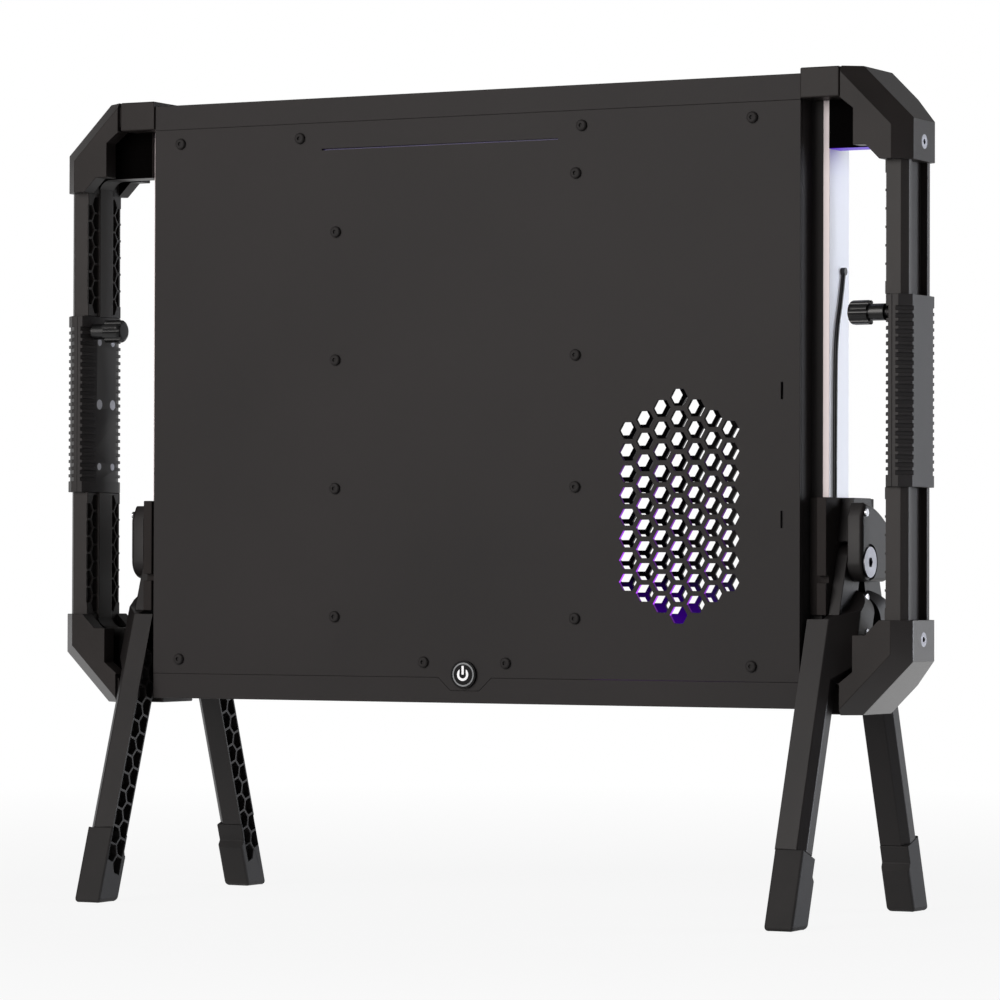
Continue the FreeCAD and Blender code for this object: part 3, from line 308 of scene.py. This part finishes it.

# End blocks and corner brackets: printed in sintered nylon powder, dyed a warm grey and tumbled, which
# leaves a fine sugary grain and rounded edges. The brackets are hollow: the near face of the web deep inside
# them is painted near black, a painted shade, and in the top brackets it is also without gloss. The slopes
# under the lower ones get a painted sheen, glossier where they face down, in place of light from the floor
# below.
SIDES = {"left": -1, "right": 1}
NYLON_ROUGHNESS = 0.42
NYLON_GLOSS = 0.14
SHEEN_ROUGHNESS = 0.25
SHEEN_GLOSS = 1.0
BRACKET_WEB_Y = (-0.0400, -0.0330)
SLOPE_SHARE = 0.707
sintered_nylon = grained_finish("sintered_nylon", "#282524", "#312D2C", roughness=NYLON_ROUGHNESS,
                                grain_mm=0.8, height_mm=0.08, patch_mm=45, Specular_IOR_Level=NYLON_GLOSS)


def hollow_nylon(name, sheen_facing=None):
    """The nylon of a hollow bracket, with painted shade on its web: near black, and without gloss unless a
    sheen is painted on the faces that look one way.
    """
    material = sintered_nylon.copy()
    material.name = name
    tree = material.node_tree
    nylon = tree.nodes["Principled BSDF"]
    inside = share_facing(tree, (0.0, -1.0, 0.0), [("Y", *BRACKET_WEB_Y)])
    dyed = nylon.inputs["Base Color"].links[0].from_socket
    # Painted shade: the web's near face is mixed towards near black, for the shadow deep in the pocket.
    painted_pocket_shade = add_node(tree, "ShaderNodeMix", {"data_type": "RGBA", 7: linear("#080707")},
                        {0: inside, 6: dyed})
    tree.links.new(painted_pocket_shade.outputs[2], nylon.inputs["Base Color"])
    if sheen_facing:
        # Painted sheen: faces that look this way are glossier, in place of light reflected from the floor
        # below.
        slope = share_facing(tree, sheen_facing)
        gloss = add_node(tree, "ShaderNodeMapRange", {"To Min": NYLON_GLOSS, "To Max": SHEEN_GLOSS},
                         {"Value": slope})
        smooth = add_node(tree, "ShaderNodeMapRange", {"To Min": NYLON_ROUGHNESS, "To Max": SHEEN_ROUGHNESS},
                          {"Value": slope})
        tree.links.new(smooth.outputs["Result"], nylon.inputs["Roughness"])
    else:
        # Painted shade: the web loses its gloss as well.
        gloss = add_node(tree, "ShaderNodeMapRange", {"To Min": NYLON_GLOSS, "To Max": 0.0},
                         {"Value": inside})
    tree.links.new(gloss.outputs["Result"], nylon.inputs["Specular IOR Level"])
    return material


# A violet glow is painted on the underside of the right top bracket's web: painted light, in place of a
# violet lamp behind it that lights it from below.
lit_bracket_nylon = violet_glow(hollow_nylon("lit_bracket_nylon"), "#5A18D0", strength=0.8,
                                facing=(0.0, 0.0, -1.0),
                                ramps=[("Z", 0.496, 0.498), ("Z", 0.506, 0.503), ("Y", *BRACKET_WEB_Y)])
eased("right_top_bracket", lit_bracket_nylon, edge_mm=0.4)
eased("left_top_bracket", hollow_nylon("top_bracket_nylon"), edge_mm=0.4)
for side, way in SIDES.items():
    eased(side + "_top_end_block", sintered_nylon, edge_mm=1.0)
    eased(side + "_bottom_end_block", sintered_nylon, edge_mm=1.0)
    # Painted sheen on the slopes that face down and out.
    slope = (way * SLOPE_SHARE, 0.0, -SLOPE_SHARE)
    eased(side + "_bottom_bracket", hollow_nylon(side + "_bottom_bracket_nylon", slope), edge_mm=0.4)

# Hinges and legs: printed in the same nylon powder, and screwed to the sides of the case.
# The legs and the hinge covers are a shade darker and tumbled. The hinge bases are left matt, as they
# come from the printer.
matt_nylon = grained_finish("matt_nylon", "#2A2726", "#322E2D", roughness=0.6, grain_mm=0.9,
                            height_mm=0.1, patch_mm=45, Specular_IOR_Level=0.08)
leg_nylon = grained_finish("leg_nylon", "#201E1E", "#272424", roughness=0.42, grain_mm=0.8,
                           height_mm=0.08, patch_mm=45, Specular_IOR_Level=0.25)
legs = {}
for side in SIDES:
    eased(side + "_hinge_base", matt_nylon, edge_mm=0.5)
    eased(side + "_hinge_cover", leg_nylon, edge_mm=0.5)
    for end in ("back", "front"):
        legs[side, end] = eased(side + "_" + end + "_leg", leg_nylon, edge_mm=0.7)

# Side panels: sheets of opal acrylic, sawn to size and lit from inside, which look milky and even.
# The cut edge at the back is a warmer, pinkish white. Towards the top end, under the bracket, the glow is
# faded to a dark violet: painted shade of the bracket above it.
PANEL_ROUGHNESS = 0.3
PANEL_LIGHT = 0.2
PANEL_PATCH_MM = 90
PANEL_EDGE_FACING = (-0.3, -0.8)
PANEL_FADE_Z = (0.482, 0.503)
opal_acrylic = bpy.data.materials.new("opal_acrylic")
opal_acrylic.use_nodes = True
tree = opal_acrylic.node_tree
opal = tree.nodes["Principled BSDF"]
opal.inputs["Roughness"].default_value = PANEL_ROUGHNESS
opal.inputs["Emission Strength"].default_value = PANEL_LIGHT
place = add_node(tree, "ShaderNodeTexCoord")
facing = add_node(tree, "ShaderNodeSeparateXYZ", links={"Vector": place.outputs["Normal"]})
edge = add_node(tree, "ShaderNodeMapRange",
                {"From Min": PANEL_EDGE_FACING[0], "From Max": PANEL_EDGE_FACING[1]},
                {"Value": facing.outputs["Y"]})
depth = add_node(tree, "ShaderNodeTexNoise", {"Scale": 1 / (PANEL_PATCH_MM * MM), "Detail": 1.0},
                 {"Vector": place.outputs["Object"]})
face_tone = add_node(tree, "ShaderNodeValToRGB", links={"Fac": depth.outputs["Fac"]})
face_tone.color_ramp.elements[0].color = linear("#DADCE4")
face_tone.color_ramp.elements[1].color = linear("#F0F0F4")
tone = add_node(tree, "ShaderNodeMix", {"data_type": "RGBA", 7: linear("#EADCDC")},
                {0: edge.outputs["Result"], 6: face_tone.outputs["Color"]})
height = add_node(tree, "ShaderNodeSeparateXYZ", links={"Vector": place.outputs["Object"]})
# Painted shade: the glow darkens over the top end, for the shadow of the bracket.
fade = add_node(tree, "ShaderNodeMapRange", {"From Min": PANEL_FADE_Z[0], "From Max": PANEL_FADE_Z[1]},
                {"Value": height.outputs["Z"]})
lit = add_node(tree, "ShaderNodeMix", {"data_type": "RGBA", 7: linear("#2A2434")},
               {0: fade.outputs["Result"], 6: tone.outputs[2]})
tree.links.new(tone.outputs[2], opal.inputs["Base Color"])
tree.links.new(lit.outputs[2], opal.inputs["Emission Color"])
for side in SIDES:
    eased(side + "_side_panel", opal_acrylic, edge_mm=0.5)

# Lead: a thin cable in a black vinyl sheath, smooth and a little shiny.
# It leaves a small moulded boot, hangs down the side panel and goes into the hinge.
lead_sheath = grained_finish("lead_sheath", "#0C0C0D", "#141415", roughness=0.4, grain_mm=0.5,
                             height_mm=0.03, patch_mm=15)
LEAD_X = 0.2577
LEAD_D = 0.003
LEAD_ROUTE = ((-0.0101, 0.4211), (-0.0140, 0.4030), (-0.0215, 0.3820), (-0.0238, 0.3540), (-0.0240, 0.2742))
lead_line = bpy.data.curves.new("side_lead_line", "CURVE")
lead_line.dimensions = "3D"
lead_line.bevel_depth = LEAD_D / 2
lead_line.bevel_resolution = 4
lead_line.use_fill_caps = True
lead_run = lead_line.splines.new("NURBS")
lead_run.points.add(len(LEAD_ROUTE) - 1)
for point, (y, z) in zip(lead_run.points, LEAD_ROUTE):
    point.co = (LEAD_X, y, z, 1.0)
lead_run.order_u = 3
lead_run.use_endpoint_u = True
lead_run.resolution_u = 16
lead_line.materials.append(lead_sheath)
lead = bpy.data.objects.new("side_lead_cord", lead_line)
scene.collection.objects.link(lead)
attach(lead, "case")
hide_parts("side_lead")
finish_node(lead_sheath, "lead_boot")

# Bright steel: countersunk screws in the brackets and grips, the pivots of the legs, and the button's nut.
# They are zinc plated, which gives a soft bluish grey shine.
bright_steel = grained_finish("bright_steel", "#7E7E84", "#929298", roughness=0.34, grain_mm=0.7,
                              height_mm=0.02, patch_mm=8, Metallic=1.0)
finish_node(bright_steel, "corner_screws", "grip_screws", "power_button_nut")
for side in SIDES:
    finish_node(bright_steel, side + "_back_pivot_bolt", side + "_front_pivot_pin")

# Polished screws: stainless steel heads, turned and polished to a paler, cleaner shine.
# They hold the hinge covers, and two low heads sit below the pivot on each back leg.
polished_steel = grained_finish("polished_steel", "#C2C2C6", "#D8D8DC", roughness=0.3, grain_mm=0.6,
                                height_mm=0.02, patch_mm=4, Metallic=1.0)
finish_node(polished_steel, "hinge_cover_screws")
LUG_SCREWS = ((-0.0070, 0.2095), (-0.0163, 0.1868))
LUG_HEAD_R = 0.0028
LUG_HEAD_H = 0.0012
LUG_HEAD_EDGE_MM = 0.3
LUG_HEAD_TURN = math.radians(30)
for side, way in SIDES.items():
    heads = []
    for y, z in LUG_SCREWS:
        _, spot, _, _ = legs[side, "back"].ray_cast((way * cad_box[1][0], y, z), (-way, 0, 0))
        bpy.ops.object.select_all(action="DESELECT")
        bpy.ops.mesh.primitive_cylinder_add(vertices=32, radius=LUG_HEAD_R, depth=LUG_HEAD_H, location=spot,
                                            rotation=(0, math.pi / 2, 0))
        heads.append(bpy.context.object)
    for head in heads:
        head.select_set(True)
    bpy.ops.object.join()
    bpy.ops.object.transform_apply(location=True, rotation=True, scale=True)
    head = bpy.context.object
    head.name = side + "_lug_screws"
    softened = head.modifiers.new("softened", "BEVEL")
    softened.width = LUG_HEAD_EDGE_MM * MM
    softened.segments = 2
    bpy.ops.object.modifier_apply(modifier=softened.name)
    bpy.ops.object.shade_smooth_by_angle(angle=LUG_HEAD_TURN)
    head.data.materials.append(polished_steel)
    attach(head, side + "_back_leg")

# Handles: moulded black rails between the brackets, with a satin skin.
# A grip of ribbed grey nylon is closed round each rail in two halves, and a glossy black knob clamps it.
moulded_black = grained_finish("moulded_black", "#2A2726", "#322E2D", roughness=0.42, grain_mm=0.8,
                               height_mm=0.05, patch_mm=40, Specular_IOR_Level=0.22)
ribbed_nylon = grained_finish("ribbed_nylon", "#2B2929", "#333030", roughness=0.46, grain_mm=0.7,
                              height_mm=0.07, patch_mm=30, Specular_IOR_Level=0.22)
knob_plastic = grained_finish("knob_plastic", "#101010", "#1A1A1B", roughness=0.3, grain_mm=0.6,
                              height_mm=0.03, patch_mm=12)
for side in SIDES:
    eased(side + "_handle_rail", moulded_black, edge_mm=0.6)
    eased(side + "_grip_inner_half", ribbed_nylon, edge_mm=0.35)
    eased(side + "_grip_outer_half", ribbed_nylon, edge_mm=0.35)
    eased(side + "_clamp_knob", knob_plastic, edge_mm=0.3)

# Feet: moulded rubber shoes, pushed on the ends of the legs.
# The rubber is dull, with a dusty bloom, and round where it meets the floor.
shoe_rubber = grained_finish("shoe_rubber", "#232222", "#2C2A2A", roughness=0.62, grain_mm=1.1,
                             height_mm=0.1, patch_mm=25, Specular_IOR_Level=0.25)
for side in SIDES:
    eased(side + "_back_foot", shoe_rubber, edge_mm=0.7, sole_mm=3.0)
    eased(side + "_front_foot", shoe_rubber, edge_mm=0.7, sole_mm=3.0)

# Studio floor: a wide pale floor in matt paint, which keeps the case's shadow.
# Seen straight on it is nearly white, and wholly white further off. A mirrored ray sees white only
# towards the backdrop, which hangs low behind the case.
BACKDROP_SIDE = (-0.40, 0.76, -1.0)


def seen_share(tree, place, none, full):
    """White for a ray that sees it straight on or through glass, and for a mirrored one at the backdrop."""
    rays = add_node(tree, "ShaderNodeLightPath")
    towards = add_node(tree, "ShaderNodeVectorMath", {"operation": "DOT_PRODUCT", 1: BACKDROP_SIDE},
                       {0: place})
    backdrop = add_node(tree, "ShaderNodeMapRange", {"From Min": none, "From Max": full},
                        {"Value": towards.outputs["Value"]})
    glossy = add_node(tree, "ShaderNodeMath", {"operation": "MULTIPLY"},
                      {0: rays.outputs["Is Glossy Ray"], 1: backdrop.outputs["Result"]})
    straight = add_node(tree, "ShaderNodeMath", {"operation": "ADD"},
                        {0: rays.outputs["Is Camera Ray"], 1: rays.outputs["Is Transmission Ray"]})
    seen = add_node(tree, "ShaderNodeMath", {"operation": "ADD", "use_clamp": True},
                    {0: straight.outputs[0], 1: glossy.outputs[0]})
    return seen.outputs[0]


FLOOR_SIZE = 40.0
FLOOR_ROUGHNESS = 0.9
FLOOR_NEAR, FLOOR_FAR = 0.4, 1.8
FLOOR_NEAR_WHITE = 0.9
bpy.ops.mesh.primitive_plane_add(size=FLOOR_SIZE)
floor = bpy.context.object
floor.name = "studio_floor"
floor_paint = bpy.data.materials.new("studio_floor_paint")
floor_paint.use_nodes = True
tree = floor_paint.node_tree
paint = tree.nodes["Principled BSDF"]
paint.inputs["Base Color"].default_value = linear("#C8C8C8")
paint.inputs["Roughness"].default_value = FLOOR_ROUGHNESS
floor_place = add_node(tree, "ShaderNodeTexCoord").outputs["Object"]
seen = seen_share(tree, floor_place, none=-0.5, full=0.15)
far = add_node(tree, "ShaderNodeVectorMath", {"operation": "LENGTH"}, {"Vector": floor_place})
white_share = add_node(tree, "ShaderNodeMapRange", {"From Min": FLOOR_NEAR, "From Max": FLOOR_FAR,
                                                    "To Min": FLOOR_NEAR_WHITE, "To Max": 1.0},
                       {"Value": far.outputs["Value"]})
share = add_node(tree, "ShaderNodeMath", {"operation": "MULTIPLY"},
                 {0: seen, 1: white_share.outputs["Result"]})
white = add_node(tree, "ShaderNodeEmission", {"Color": linear("#FFFFFF"), "Strength": 1.0})
mix = add_node(tree, "ShaderNodeMixShader", links={"Fac": share.outputs[0], 1: paint.outputs["BSDF"],
                                                   2: white.outputs["Emission"]})
tree.links.new(mix.outputs["Shader"], tree.nodes["Material Output"].inputs["Surface"])
floor.data.materials.append(floor_paint)

# Studio room: dim walls all round, and the white backdrop behind the case.
# The backdrop is white to the camera and in what the case mirrors, and lights the case no more than a wall.
ROOM_LEVEL = 0.15
world = bpy.data.worlds.new("studio_surround")
scene.world = world
world.use_nodes = True
tree = world.node_tree
surround = tree.nodes["Background"]
surround.inputs["Color"].default_value = linear("#FFFFFF")
room_place = add_node(tree, "ShaderNodeTexCoord").outputs["Generated"]
level = add_node(tree, "ShaderNodeMapRange", {"To Min": ROOM_LEVEL, "To Max": 1.0},
                 {"Value": seen_share(tree, room_place, none=0.1, full=0.75)})
tree.links.new(level.outputs["Result"], surround.inputs["Strength"])

# Studio lamps: two large soft boxes turned to the middle of the case.
# A slightly warm one stands at the front left, and a cooler one stands low at the back right.
LAMPS = (("front_lamp", (-0.9, -2.9, 1.1), 2.0, 64.0, (1.0, 0.97, 0.95)),
         ("back_right_lamp", (2.5, 1.5, 0.2), 1.6, 100.0, (0.88, 0.92, 1.0)))
LAMP_AIM = Vector((0, 0, 0.3))
for name, spot, size, watts, tint in LAMPS:
    bpy.ops.object.light_add(type="AREA", location=spot)
    lamp = bpy.context.object
    lamp.name = name
    lamp.data.size = size
    lamp.data.energy = watts
    lamp.data.color = tint
    lamp.rotation_euler = (LAMP_AIM - lamp.location).to_track_quat("-Z", "Y").to_euler()
